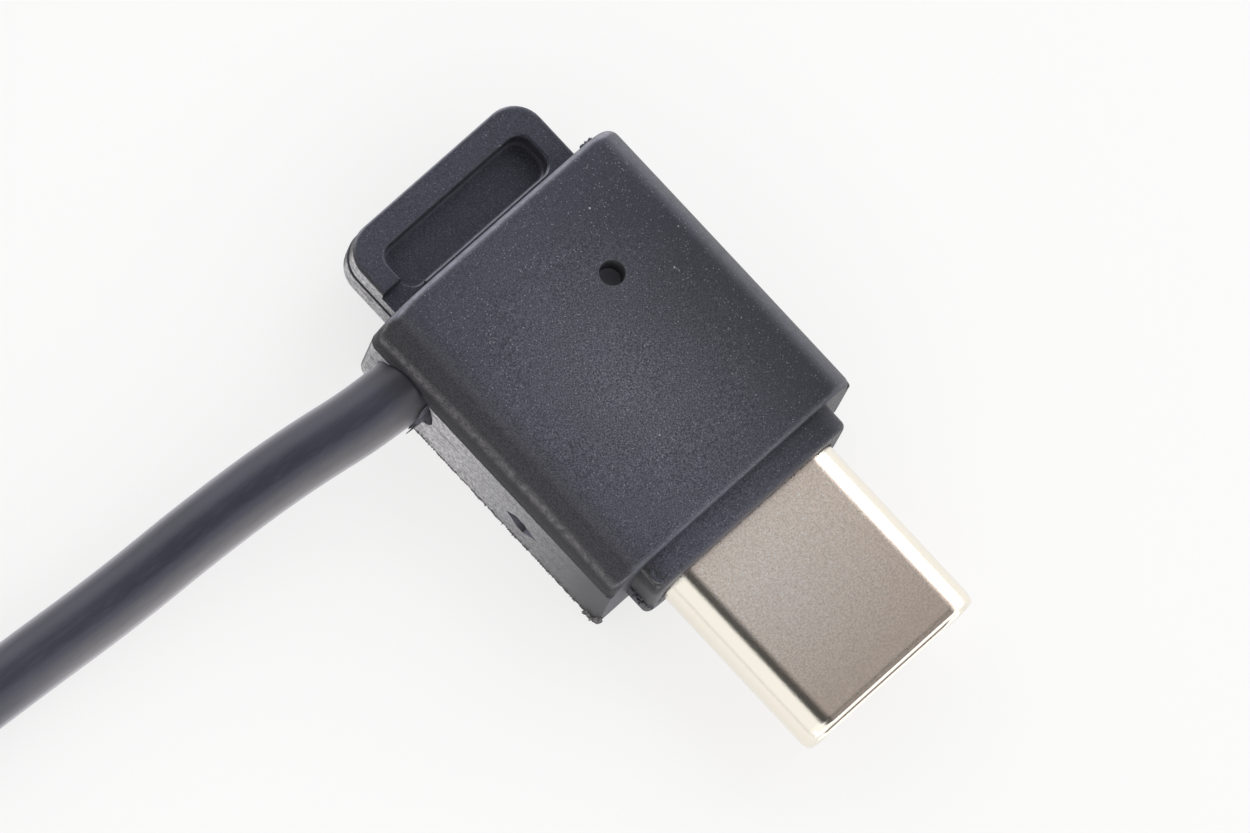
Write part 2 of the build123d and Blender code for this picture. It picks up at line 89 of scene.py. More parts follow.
# Phone plug
PHONE_Y = 38.86
PHONE_Z = 2.45
WINDOW_CORNER = 0.4
CHANNEL_HALF = 2.4
CHANNEL_TALL = 0.64


def photo_camera():
    """Camera where the photographer stood, far off with a long lens."""
    right = Vector((0.72283, -0.67953, 0.12555))
    up = Vector((0.64176, 0.72749, 0.24269))
    back = Vector((-0.25625, -0.09485, 0.96195))
    data = bpy.data.cameras.new("photo_camera")
    data.sensor_fit = "HORIZONTAL"
    data.sensor_width = 36.0
    data.lens = 481.9
    data.clip_start = 0.05
    data.clip_end = 20.0
    camera = bpy.data.objects.new("photo_camera", data)
    bpy.context.scene.collection.objects.link(camera)
    turn = Matrix((right, up, back)).transposed().to_4x4()
    place = Vector((-154.382, -55.909, 579.667)) * MM
    camera.matrix_world = Matrix.Translation(place) @ turn
    bpy.context.scene.camera = camera


def put(name, mesh):
    """A new object at the origin for a finished mesh or curve."""
    piece = bpy.data.objects.new(name, mesh)
    bpy.context.scene.collection.objects.link(piece)
    return piece


def plain_mesh(piece):
    """Turn a piece with its modifiers into a plain mesh of the same name."""
    graph = bpy.context.evaluated_depsgraph_get()
    mesh = bpy.data.meshes.new_from_object(piece.evaluated_get(graph))
    piece.modifiers.clear()
    piece.data = mesh
    return piece


def smooth_by_angle(piece, degrees):
    """Smooth shading with crisp edges, flat faces kept flat."""
    piece.data.shade_smooth()
    piece.data.set_sharp_from_angle(angle=math.radians(degrees))
    weigh = piece.modifiers.new("keep_flats", "WEIGHTED_NORMAL")
    weigh.keep_sharp = True
    weigh.weight = 90
    return plain_mesh(piece)


def to_metres(piece):
    """Scale a piece that was shaped in millimetres."""
    piece.data.transform(Matrix.Scale(MM, 4))
    return piece


def dress(piece, finish):
    """Give a piece its one material."""
    piece.data.materials.clear()
    piece.data.materials.append(finish)
    return piece


def finished(piece, degrees, finish):
    """A shaped piece with its shading, its size in metres and its material."""
    return dress(to_metres(smooth_by_angle(piece, degrees)), finish)


def in_mm(box):
    """The two corners of a piece's box in millimetres."""
    low, high = box
    return low / MM, high / MM


def ease(value, start, end):
    """0 before start, 1 after end and a smooth climb between them."""
    t = min(1.0, max(0.0, (value - start) / (end - start)))
    return t * t * (3 - 2 * t)


# Forms built from rings of points


def bridge(shape, rings, closed=False):
    """Join rings of points with faces and cap both ends, unless the last ring meets the first."""
    rows = [[shape.verts.new(point) for point in ring] for ring in rings]
    for row, following in zip(rows, rows[1:] + (rows[:1] if closed else [])):
        for number in range(len(row)):
            nearby = (number + 1) % len(row)
            shape.faces.new((row[number], row[nearby], following[nearby], following[number]))
    if not closed:
        shape.faces.new(rows[0][::-1])
        shape.faces.new(rows[-1])


def settled(name, shape):
    """Piece made from a shape, with its faces turned outwards."""
    bmesh.ops.recalc_face_normals(shape, faces=shape.faces)
    mesh = bpy.data.meshes.new(name)
    shape.to_mesh(mesh)
    shape.free()
    return put(name, mesh)


def skin(name, rings, closed=False):
    """Form through rings of equal count, each point kept."""
    shape = bmesh.new()
    bridge(shape, rings, closed)
    return settled(name, shape)


def loft(name, rings):
    """Closed form through rings of equal count, with points that touch made one."""
    shape = bmesh.new()
    bridge(shape, rings)
    bmesh.ops.remove_doubles(shape, verts=shape.verts, dist=0.0005)
    return settled(name, shape)


def combine(base, others, how):
    """Join or cut shapes exactly, one after another, throw the tools away and close any sliver."""
    for other in others:
        step = base.modifiers.new("combine", "BOOLEAN")
        step.operation = how
        step.solver = "EXACT"
        step.object = other
        plain_mesh(base)
        bpy.data.objects.remove(other)
    shape = bmesh.new()
    shape.from_mesh(base.data)
    bmesh.ops.remove_doubles(shape, verts=shape.verts, dist=0.0005)
    open_edges = [edge for edge in shape.edges if edge.is_boundary]
    bmesh.ops.holes_fill(shape, edges=open_edges, sides=4)
    shape.to_mesh(base.data)
    shape.free()
    return base


def level_ring(middle, radius, height, step, squash=1.0):
    """Level circle of points, one every so many degrees, its width times squash."""
    x, y = middle
    turn = [math.radians(angle) for angle in range(0, 360, step)]
    return [(x + squash * radius * math.cos(a), y + radius * math.sin(a), height) for a in turn]


def rounded_box_outline(half_width, low, high, top_round, low_round, steps=10):
    """Section of a block as x, z pairs, anticlockwise from its low right corner."""
    corners = (
        (half_width - low_round, low + low_round, low_round, -90),
        (half_width - top_round, high - top_round, top_round, 0),
        (-half_width + top_round, high - top_round, top_round, 90),
        (-half_width + low_round, low + low_round, low_round, 180),
    )
    outline = []
    for x, z, radius, start in corners:
        turn = [math.radians(start + 90 * number / steps) for number in range(steps + 1)]
        outline += [(x + radius * math.cos(a), z + radius * math.sin(a)) for a in turn]
    return outline


def end_stations(front, rear, front_round, rear_round, steps=6, between=()):
    """Stations along a lofted form, each with the inset that rounds its ends over."""
    stations = []
    for number in range(steps + 1):
        angle = math.radians(90 * number / steps)
        place = front + front_round * (1 - math.cos(angle))
        stations.append((place, front_round * (1 - math.sin(angle))))
    stations += [(place, 0.0) for place in between]
    for number in range(steps + 1):
        angle = math.radians(90 * number / steps)
        place = rear - rear_round * (1 - math.sin(angle))
        stations.append((place, rear_round * (1 - math.cos(angle))))
    stations[-steps - 1:] = sorted(stations[-steps - 1:])
    return stations


# Cable


def add_spline(curve, kind, places):
    """A line of control points given in millimetres."""
    spline = curve.splines.new(kind)
    spline.points.add(len(places) - 1)
    for point, place in zip(spline.points, places):
        point.co = (*(Vector(place) * MM), 1.0)
    return spline


def lead_route():
    """From inside the block to the coil, as the route in the part's source."""
    return [
        (-3.2, CABLE_Y, PLUG_Z),
        (-6.9, CABLE_Y, PLUG_Z),
        (-10.7, 7.72, 2.36),
        (-14.6, 8.12, 1.80),
        (-18.8, 8.32, 1.36),
        (-23.4, 8.75, 1.26),
        (-28.0, 9.05, 1.25),
        (-32.0, 9.28, 1.25),
    ]


def on_coil(angle, radius, z):
    """A place at an angle and a distance round the coil's middle."""
    return (COIL_CENTRE[0] + radius * math.cos(angle), COIL_CENTRE[1] + radius * math.sin(angle), z)


def coil_route():
    """Two and a half turns, clockwise from above: outer, inner, and the last on top of both."""
    step = 15
    swell = 1 / math.cos(math.radians(step / 2))
    points = []
    for sweep in range(0, 901, step):
        radius = OUTER_TURN
        radius += (INNER_TURN - OUTER_TURN) * ease(sweep, 296, 345)
        radius += (TOP_TURN - INNER_TURN) * ease(sweep, 640, 690)
        past_tie = (sweep - 90) % 360
        z = CABLE_RADIUS
        z += (TOP_LAYER_Z - CABLE_RADIUS) * ease(sweep, 600, 660)
        z += 0.36 * ease(sweep, 645, 675) * (1 - ease(sweep, 690, 735))
        z += TIE_LIFT * max(0.0, 1 - past_tie / 30, 1 - (360 - past_tie) / 30)
        z += 0.3 * ease(sweep, 870, 900)
        points.append(on_coil(math.radians(-90 - sweep), radius * swell, z))
    return points


def tail_route():
    """From the coil's top turn over the outer turn and down to the phone plug."""
    return [
        (-34.6, 38.62, 3.86),
        (-31.4, 38.64, 3.86),
        (-28.6, 38.67, 3.45),
        (-25.6, 38.74, 2.95),
        (-22.4, 38.82, 2.56),
        (-19.2, PHONE_Y, PHONE_Z),
        (-15.4, PHONE_Y, PHONE_Z),
    ]


def make_cable(finish):
    """The whole cord as one smooth round line."""
    curve = bpy.data.curves.new("cable", "CURVE")
    curve.dimensions = "3D"
    spline = add_spline(curve, "NURBS", lead_route() + coil_route() + tail_route())
    spline.order_u = 3
    spline.use_endpoint_u = True
    curve.resolution_u = 8
    curve.bevel_depth = CABLE_RADIUS * MM
    curve.bevel_resolution = 7
    curve.use_fill_caps = True
    return dress(put("cable", curve), finish)


def tie_outline(low_skin, top_skin, steps=72):
    """Taut outline round the coil's three turns, as radius from the coil's axis and height."""
    circles = (
        (OUTER_TURN, CABLE_RADIUS + TIE_LIFT, low_skin),
        (INNER_TURN, CABLE_RADIUS + TIE_LIFT, low_skin),
        (TOP_TURN, TOP_LAYER_Z + TIE_LIFT, top_skin),
    )
    outline = []
    for number in range(steps):
        angle = math.radians(360 * number / steps)
        way = Vector((math.cos(angle), math.sin(angle)))
        r, z, own = max(circles, key=lambda c: c[0] * way.x + c[1] * way.y + c[2])
        outline.append((r + own * way.x, z + own * way.y))
    return outline


def make_tie(finish):
    """Soft band pulled tight round the coil's three turns, on the side away from the plugs."""
    half_arc = 1.6 / TOP_TURN
    outside = CABLE_RADIUS + TIE_THICK
    inside = CABLE_RADIUS + 0.01
    hem = [(1.0, 0.19), (0.985, 0.09), (0.95, 0.03), (0.9, 0.0), (0.45, 0.0)]
    sections = []
    for along, inset in [(-place, inset) for place, inset in hem] + [(0.0, 0.0)] + hem[::-1]:
        sections.append((along, tie_outline(outside - inset, outside - 0.04 - inset)))
    sections += [(along, tie_outline(inside, inside)) for along in (1.0, 0.0, -1.0)]
    rings = []
    for along, outline in sections:
        angle = math.pi + along * half_arc
        rings.append([on_coil(angle, r, z) for r, z in outline])
    return finished(skin("tie_band", rings, closed=True), 50, finish)


# Finishes


def fill(node, given):
    """Set or link the inputs of a node by name or number, and hand the node back."""
    for name, value in given.items():
        if isinstance(value, bpy.types.NodeSocket):
            node.id_data.links.new(value, node.inputs[name])
        else:
            node.inputs[name].default_value = value
    return node


def opaque(colour):
    """A colour with its fourth channel, or a socket as it is."""
    return (*colour, 1.0) if isinstance(colour, tuple) else colour


class Finish:
    """A node material round one Principled shader, with short calls for its patterns."""

    def __init__(self, name, colour, roughness, metallic=0.0, specular=0.5):
        self.material = bpy.data.materials.new(name)
        self.material.use_nodes = True
        self.tree = self.material.node_tree
        self.shader = self.tree.nodes["Principled BSDF"]
        self.colour(colour)
        self.roughness(roughness)
        fill(self.shader, {"Metallic": metallic, "Specular IOR Level": specular})
        self.place = self.node("TexCoord").outputs["Object"]

    def node(self, kind, **given):
        """A new node with its inputs filled in."""
        return fill(self.tree.nodes.new("ShaderNode" + kind), given)

    def stretched(self, scale):
        """The place on the piece, stretched along its axes."""
        return self.node("Mapping", Vector=self.place, Scale=scale).outputs["Vector"]

    def cloud(self, size, detail=2.0, rough=0.5, at=None):
        """Soft noise whose blobs are about size millimetres."""
        node = self.node("TexNoise", Vector=at or self.place, Detail=detail, Roughness=rough)
        return fill(node, {"Scale": 1 / (size * MM)}).outputs["Fac"]

    def cells(self, size):
        """Distance from scattered points about size millimetres apart."""
        scale = 1 / (size * MM)
        return self.node("TexVoronoi", Vector=self.place, Scale=scale).outputs["Distance"]

    def spread(self, value, low, high, to_low=0.0, to_high=1.0):
        """Map a value from one range to another, clamped."""
        node = self.node("MapRange", Value=value)
        fill(node, {"From Min": low, "From Max": high, "To Min": to_low, "To Max": to_high})
        return node.outputs["Result"]

    def math(self, kind, first, second):
        """One step of arithmetic with two values."""
        node = self.node("Math")
        node.operation = kind
        return fill(node, {0: first, 1: second}).outputs["Value"]

    def times(self, first, *others):
        """Product of values, taken one after another."""
        for other in others:
            first = self.math("MULTIPLY", first, other)
        return first

    def leaning(self):
        """Parts of the true normal along X, Y and Z."""
        normal = self.node("NewGeometry").outputs["Normal"]
        return self.node("SeparateXYZ", Vector=normal).outputs

    def upright(self):
        """How far a face's normal leans up or down: 0 on a wall and 1 on a level face."""
        return self.math("ABSOLUTE", self.leaning()["Z"], 0.0)

    def part(self, axis):
        """The place along one axis, in metres."""
        return self.node("SeparateXYZ", Vector=self.place).outputs[axis]

    def ramp(self, axis, start, end, to_low=0.0, to_high=1.0):
        """A change along one axis between two places in millimetres."""
        return self.spread(self.part(axis), start * MM, end * MM, to_low, to_high)

    def away_from(self, centre, stretch):
        """Millimetres from a point, with each axis stretched."""
        move = self.node("Mapping", Vector=self.place, Scale=[k / MM for k in stretch])
        fill(move, {"Location": [-c * k for c, k in zip(centre, stretch)]})
        length = self.node("VectorMath")
        length.operation = "LENGTH"
        return fill(length, {0: move.outputs["Vector"]}).outputs["Value"]

    def mix(self, amount, first, second):
        """Blend two colours."""
        node = self.node("Mix")
        node.data_type = "RGBA"
        return fill(node, {"Factor": amount, 6: opaque(first), 7: opaque(second)}).outputs[2]

    def colour(self, value):
        """Base colour, plain or from a pattern."""
        fill(self.shader, {"Base Color": opaque(value)})

    def roughness(self, value):
        """Roughness, plain or from a pattern."""
        fill(self.shader, {"Roughness": value})

    def bump(self, height, depth, strength, under=None):
        """Relief of a depth in millimetres, on top of another relief."""
        node = self.node("Bump", Height=height, Strength=strength, Distance=depth * MM)
        if under is not None:
            fill(node, {"Normal": under})
        fill(self.shader, {"Normal": node.outputs["Normal"]})
        return node.outputs["Normal"]


def scaled(colour, *factors):
    """A colour times one factor, or times one for each channel, no brighter than white."""
    factors = factors * 3 if len(factors) == 1 else factors
    return tuple(min(1.0, c * factor) for c, factor in zip(colour, factors))


def dusty_ground_and_painted_light(finish, grain, speck, colour, pale):
    """Speckled moulding with pale dust in its grain, painted shade darker to the right and front of
    the top, and a painted highlight about the top's middle.
    """
    light = scaled(colour, 2.5)
    tone = finish.mix(speck, scaled(colour, 0.3), light)
    patch = finish.spread(finish.cloud(1.9, 3.0, 0.6), 0.35, 0.7, 0.0, 0.2)
    tone = finish.mix(patch, tone, light)
    # Painted shade: the top darkened towards the right, more so towards the front.
    right = finish.times(
        finish.ramp("X", -0.5, 4.2, 0.0, 0.95),
        finish.ramp("Y", 9.0, 3.5, 0.3, 1.0),
    )
    tone = finish.mix(right, tone, finish.mix(speck, scaled(colour, 0.1), scaled(colour, 0.62)))
    # Painted highlight: a soft oval patch about the middle of the top, brightest at its centre.
    painted_highlight_patch = finish.spread(finish.away_from((-0.7, 1.2, 5.2), (1.0, 0.72, 1.0)), 6.2, 0.4)
    dust = finish.times(
        finish.spread(finish.cells(0.12), 0.22, 0.05),
        finish.spread(finish.cloud(0.26), 0.34, 0.60),
    )
    # Pale dust shows more under the painted highlight and, as painted light, towards the rear; less
    # on the tab.
    dust_and_painted_light = finish.math("ADD", finish.times(painted_highlight_patch, 0.20), finish.ramp("Y", 2.0, 8.5, 0.54, 0.76))
    dust_and_painted_light = finish.times(dust_and_painted_light, finish.ramp("Y", 9.0, 9.15, 1.0, 0.55))
    tone = finish.mix(finish.times(dust, dust_and_painted_light), tone, pale)
    # Painted highlight: pale haze in the grain over the same patch.
    painted_highlight_haze = finish.times(painted_highlight_patch, finish.spread(grain, 0.42, 0.64, 0.0, 0.215))
    tone = finish.mix(painted_highlight_haze, tone, pale)
    dots = finish.times(
        finish.spread(finish.cells(0.8), 0.06, 0.035),
        finish.spread(finish.cloud(1.7), 0.50, 0.54, 0.0, 0.6),
    )
    return finish.mix(dots, tone, (0.6, 0.6, 0.62))


def edge_wear_and_painted_light(finish, tone, speck, facing, lean):
    """Painted shade in a browner speckle on the left shoulder, a broken pale line round it that is
    wear and painted highlight, and thinly worn rims with a painted highlight.
    """
    # Painted shade: a browner speckle without the pale dust on the left shoulder and the
    # left-facing faces near it.
    painted_shade_left = finish.times(
        finish.spread(facing["X"], -0.03, -0.55, 0.0, 0.85),
        finish.ramp("X", -2.5, -3.6),
    )
    shade_brown = finish.mix(speck, (0.0075, 0.0068, 0.0062), (0.0500, 0.0460, 0.0430))
    tone = finish.mix(painted_shade_left, tone, shade_brown)
    broken = finish.spread(finish.cloud(0.3, 5.0, 0.85), 0.36, 0.64)
    # A broken pale line along the left shoulder: wear, and a painted highlight.
    shoulder_wear_and_highlight = finish.times(
        finish.spread(lean, 0.48, 0.56),
        finish.spread(lean, 0.68, 0.60),
        finish.spread(facing["X"], -0.3, -0.5),
        broken,
        0.44,
    )
    tone = finish.mix(shoulder_wear_and_highlight, tone, (0.34, 0.32, 0.31))
    # Thinly worn rims with a painted highlight, strongest on rear-facing edges and weakest on the
    # collar's front.
    rim_wear_and_highlight = finish.times(
        finish.spread(lean, 0.30, 0.45),
        finish.spread(lean, 0.995, 0.82),
        finish.spread(facing["Y"], 0.25, 0.5, 0.22, 1.0),
        finish.spread(facing["X"], -0.5, -0.3),
        finish.spread(broken, 0.0, 1.0, 0.55, 1.0),
        0.80,
        finish.ramp("Y", -3.72, -3.60, 0.15, 1.0),
    )
    return finish.mix(rim_wear_and_highlight, tone, (0.40, 0.40, 0.47))


def wall_scuffs_and_painted_light(finish, tone, facing, lean, scuff_and_reflection_amount):
    """Pale scratches on the side walls with a painted reflection in them, and painted shade inside
    the openings cut in them.
    """
    from_middle = finish.math("ABSOLUTE", finish.part("X"), 0.0)
    outer = finish.spread(from_middle, 3.8 * MM, 4.0 * MM)
    sideways = finish.math(
        "ADD",
        finish.spread(facing["X"], -0.7, -0.85),
        finish.spread(facing["X"], 0.7, 0.85, 0.0, 0.35),
    )
    sunk = finish.times(
        finish.ramp("Y", -3.5, -3.4),
        finish.ramp("Y", 8.9, 8.8),
        finish.spread(from_middle, 5.93 * MM, 5.88 * MM),
    )
    walls = finish.times(
        finish.spread(lean, 0.16, 0.04),
        outer,
        sideways,
        finish.math("SUBTRACT", 1.0, sunk),
    )
    streak = finish.cloud(0.13, 4.0, 0.85, at=finish.stretched((1.0, 0.8, 1.0)))
    scratch = finish.cloud(0.5, 5.0, 0.7, at=finish.stretched((1.0, 0.25, 1.6)))
    # Pale scuffs that also stand in for a painted reflection of the pale table, strongest on the
    # left walls and fading towards the front.
    scuff_and_painted_reflection = finish.times(
        finish.spread(streak, 0.40, 0.60, 0.25, 1.0),
        finish.spread(scratch, 0.38, 0.46, 0.45, 1.0),
    )
    scuff_and_painted_reflection = finish.times(walls, scuff_and_painted_reflection, finish.ramp("Y", -2.8, 5.0), 0.95 * scuff_and_reflection_amount)
    tone = finish.mix(scuff_and_painted_reflection, tone, (0.74, 0.72, 0.74))
    # Painted shade: near black on the walls inside the openings cut into the block's sides.
    inside = finish.times(sunk, outer, finish.spread(lean, 0.6, 0.3, 0.0, 0.85))
    return finish.mix(inside, tone, (0.003, 0.003, 0.003))


def pin_hole_painted_light(finish, tone, lean):
    """Painted light in the pin hole: its wall lifted to a grey and its level floor made pale,
    evening out the shade down the hole.
    """
    # Painted light: the pin hole's wall lifted to a grey.
    wall = finish.spread(finish.away_from((*PIN_HOLE, 4.6), (1.0, 1.0, 0.05)), 0.53, 0.49)
    wall = finish.times(wall, finish.spread(lean, 0.6, 0.3, 0.0, 0.75))
    tone = finish.mix(wall, tone, (0.07, 0.07, 0.077))
    # Painted light: the pin hole's level floor made pale.
    well = finish.away_from((*PIN_HOLE, 4.3), (1.0, 1.0, 0.2))
    well = finish.spread(well, 0.53, 0.48, 0.0, 0.9)
    well = finish.times(well, finish.spread(lean, 0.6, 0.8))
    return finish.mix(well, tone, (0.43, 0.43, 0.47))


def moulding_finish(name, colour, pale, scuff_and_reflection_amount):
    """Matt elastomer with fine grain, pale dust in it, scuffed side walls and worn edges, with
    painted highlights on its top and edges, a painted reflection on its side walls, painted shade
    on its left shoulder and in its openings, and painted light in its pin hole.
    """
    finish = Finish(name, colour, 0.42)
    facing = finish.leaning()
    lean = finish.upright()
    grain = finish.cloud(0.064, 3.0, 0.85)
    speck = finish.spread(grain, 0.41, 0.63)
    tone = dusty_ground_and_painted_light(finish, grain, speck, colour, pale)
    tone = edge_wear_and_painted_light(finish, tone, speck, facing, lean)
    tone = wall_scuffs_and_painted_light(finish, tone, facing, lean, scuff_and_reflection_amount)
    finish.colour(pin_hole_painted_light(finish, tone, lean))
    finish.roughness(finish.spread(grain, 0.3, 0.7, 0.36, 0.50))
    relief = finish.bump(finish.cloud(0.5), 0.02, 0.4)
    finish.bump(grain, 0.034, 0.9, relief)
    fill(finish.shader, {
        "Specular Tint": (0.84, 0.86, 1.0, 1.0),
        "Sheen Weight": 0.06,
        "Sheen Roughness": 0.3,
    })
    return finish.material


def jacket_finish():
    """Extruded jacket: satin, nearly smooth, with a painted shadow by the block and a painted
    reflection of the table low on its front side near there.
    """
    finish = Finish("jacket_black", (0.030, 0.030, 0.044), 0.36, specular=0.58)
    wave = finish.cloud(2.6)
    fine = finish.cloud(0.10, 3.0, 0.6, at=finish.stretched((0.10, 1.0, 1.0)))
    tone = finish.mix(finish.spread(wave, 0.3, 0.7), (0.014, 0.014, 0.027), (0.021, 0.021, 0.038))
    # Painted reflection of the pale table: the low front side made lighter near the block.
    painted_reflection_low_side = finish.times(
        finish.spread(finish.leaning()["Y"], -0.45, -0.88),
        finish.ramp("X", -26.0, -21.0),
        finish.spread(fine, 0.3, 0.7, 0.62, 0.98),
    )
    tone = finish.mix(painted_reflection_low_side, tone, (0.125, 0.118, 0.112))
    tone = finish.mix(finish.spread(fine, 0.5, 0.75, 0.0, 0.12), tone, (0.10, 0.10, 0.12))
    # Painted shadow: the jacket darkened where it leaves the block's wall.
    painted_shadow_by_wall = finish.ramp("X", -7.3, -6.2, 0.0, 0.75)
    finish.colour(finish.mix(painted_shadow_by_wall, tone, (0.004, 0.004, 0.006)))
    finish.roughness(finish.spread(fine, 0.3, 0.7, 0.30, 0.40))
    relief = finish.bump(wave, 0.03, 0.3)
    finish.bump(fine, 0.004, 0.4, relief)
    fill(finish.shader, {
        "Specular Tint": (0.92, 0.92, 1.0, 1.0),
        "Sheen Weight": 1.0,
        "Sheen Roughness": 0.45,
        "Sheen Tint": (0.95, 0.93, 1.0, 1.0),
    })
    return finish.material


def nickel_finish(name, colour, cool, rough, middle):
    """Satin plated steel: fine speckle, a cooler cloud about its middle and a duller front."""
    finish = Finish(name, colour, rough, metallic=1.0)
    speck = finish.cloud(0.062, 3.0, 0.85)
    near = finish.spread(finish.away_from(middle, (0.8, 0.6, 0.3)), 3.4, 0.4)
    rolled = finish.spread(finish.upright(), 0.99, 0.94)
    tone = finish.mix(near, colour, cool)
    tone = finish.mix(finish.spread(speck, 0.36, 0.56, 0.54, 0.0), tone, scaled(colour, 0.5))
    spark = finish.times(
        finish.spread(finish.cells(0.15), 0.32, 0.09),
        finish.spread(finish.cloud(0.35), 0.42, 0.58, 0.20, 1.0),
    )
    tone = finish.mix(spark, tone, scaled(cool, 1.5))
    dull = finish.mix(speck, scaled(colour, 0.42, 0.40, 0.38), scaled(colour, 0.72, 0.70, 0.68))
    tone = finish.mix(finish.ramp("Y", -6.0, -11.5, 0.0, 0.72), tone, dull)
    finish.colour(finish.mix(rolled, tone, (0.90, 0.85, 0.75)))
    satin = finish.spread(speck, 0.3, 0.7, rough - 0.03, rough + 0.05)
    finish.roughness(finish.times(satin, finish.spread(rolled, 0.0, 1.0, 1.0, 0.5)))
    relief = finish.bump(finish.cloud(1.4), 0.006, 0.3)
    finish.bump(speck, 0.006, 0.6, relief)
    return finish.material


def fine_finish(name, colour, rough, metallic=0.0, size=0.2, depth=0.004, contrast=0.12):
    """Small inner piece: a little uneven in colour, gloss and relief."""
    finish = Finish(name, colour, rough, metallic)
    grain = finish.cloud(size, 3.0)
    uneven = finish.spread(grain, 0.3, 0.7)
    finish.colour(finish.mix(uneven, scaled(colour, 1 - contrast), scaled(colour, 1 + contrast)))
    finish.roughness(finish.spread(grain, 0.3, 0.7, rough * 0.88, rough * 1.12))
    finish.bump(grain, depth, 0.6)
    return finish.material


def make_finishes():
    """One finish for each material slot of the record, one for the grip and one for shreds."""
    pale = (0.43, 0.42, 0.45)
    shred = (0.16, 0.155, 0.155)
    nickel = (1.0, 0.86, 0.76), (1.0, 0.92, 0.85)
    tongue_nickel = (0.74, 0.72, 0.70), (0.74, 0.73, 0.72)
    shell_middle = (-1.2, -8.2, 3.8)
    tongue_middle = (-4.0, PHONE_Y, PHONE_Z)
    return {
        "moulding": moulding_finish("moulding_charcoal", (0.0215, 0.0218, 0.0318), pale, 1.0),
        "grip": moulding_finish("moulding_grip", (0.0190, 0.0193, 0.0285), pale, 0.0),
        "frayed": fine_finish("moulding_frayed", shred, 0.6, size=0.07, depth=0.01, contrast=0.6),
        "jacket": jacket_finish(),
        "tie": fine_finish("tie_black", (0.022, 0.022, 0.026), 0.6, 0.0, 0.14, 0.02, 0.4),
        "shell_steel": nickel_finish("plug_shell_nickel", *nickel, 0.20, shell_middle),
        "tongue_steel": nickel_finish("tongue_nickel", *tongue_nickel, 0.28, tongue_middle),
        "spring_steel": fine_finish("spring_steel", (0.6, 0.59, 0.57), 0.3, 1.0),
        "contact_gold": fine_finish("contact_gold", (0.83, 0.62, 0.28), 0.25, 1.0, 0.08, 0.002),
        "insulator": fine_finish("insulator_black", (0.025, 0.025, 0.027), 0.45, size=0.12),
        "board": fine_finish("board_green", (0.02, 0.13, 0.05), 0.35, size=0.4),
        "inner_mould": fine_finish("inner_mould_natural", (0.66, 0.65, 0.60), 0.5, size=0.5),
        "chip_black": fine_finish("chip_black", (0.028, 0.028, 0.03), 0.55, size=0.06),
        "capacitor": fine_finish("capacitor_tan", (0.42, 0.30, 0.19), 0.5, size=0.1),
        "core_red": fine_finish("core_red", (0.45, 0.02, 0.02), 0.35),
        "core_white": fine_finish("core_white", (0.72, 0.72, 0.70), 0.35),
        "core_black": fine_finish("core_black", (0.02, 0.02, 0.02), 0.35),
        "core_green": fine_finish("core_green", (0.03, 0.27, 0.07), 0.35),
    }


# Moulded head


def block_side(half, low_half, top, wide, tall, steps):
    """One side of the block's section: its wall, the parting step and a soft shoulder."""
    start = PARTING_Z + 0.04
    foot = math.asin((tall - (top - start)) / tall)
    soft = 2 / 2.6
    side = [(low_half - 0.05, 0.0), (low_half - 0.012, 0.015), (low_half, 0.05)]
    side += [(low_half, 0.05 + (PARTING_Z - 0.05) * number / 12) for number in range(1, 13)]
    middle = half - 0.035 - wide * math.cos(foot) ** soft
    for number in range(steps + 1):
        angle = foot + (math.pi / 2 - foot) * number / steps
        x = middle + wide * max(0.0, math.cos(angle)) ** soft
        side.append((x, top - tall + tall * math.sin(angle)))
    return side


def block_section(inset, turned_in, steps=16, run=16):
    """Section of the block: a wide soft shoulder on the cable's side, a narrower one opposite."""
    half = BLOCK_HALF - inset
    low_half = BLOCK_HALF - turned_in * inset
    top = BLOCK_TOP - 0.6 * inset
    right = block_side(half, low_half, top, 1.2, 1.75, steps)
    left = [(-x, z) for x, z in block_side(half, low_half, top, 2.2, 2.6, steps)[::-1]]
    first, last = right[-1][0], left[0][0]
    across = [(first + (last - first) * number / run, top) for number in range(1, run)]
    under = [((0.05 - low_half) * (1 - 2 * number / run), 0.0) for number in range(1, run)]
    return right + across + left + under


def crowned(x, y, z):
    """Let the block's top fall away a little from its middle."""
    height = ease(z, 3.7, 4.9)
    z -= height * (0.10 * (x / BLOCK_HALF) ** 2 + 0.10 * ((y - 2.2) / 6.4) ** 2)
    return (x, y, z)


def make_block():
    """Block with long soft top edges, a crisp foot in front and rounded ends."""
    straight = BLOCK_REAR - BLOCK_FRONT - 1.15
    between = [BLOCK_FRONT + 0.45 + number * straight / 30 for number in range(31)]
    rings = []
    for y, inset in end_stations(BLOCK_FRONT, BLOCK_REAR, 0.30, 0.46, 7, between):
        section = block_section(inset, 0.3 if y < 0 else 0.9)
        rings.append([crowned(x, y, z) for x, z in section])
    return loft("block", rings)


def make_collar():
    """Step in front of the block that the plug shell stands out of."""
    rings = []
    for y, inset in end_stations(COLLAR_FRONT, BLOCK_FRONT + 0.6, 0.25, 0.01, 5, [BLOCK_FRONT]):
        low = PLUG_Z - COLLAR_RISE + inset
        high = PLUG_Z + COLLAR_RISE - inset
        corner = 0.9 - inset * 0.5
        outline = rounded_box_outline(COLLAR_HALF - inset, low, high, corner, corner, 8)
        rings.append([(x, y, z) for x, z in outline])
    return loft("collar", rings)


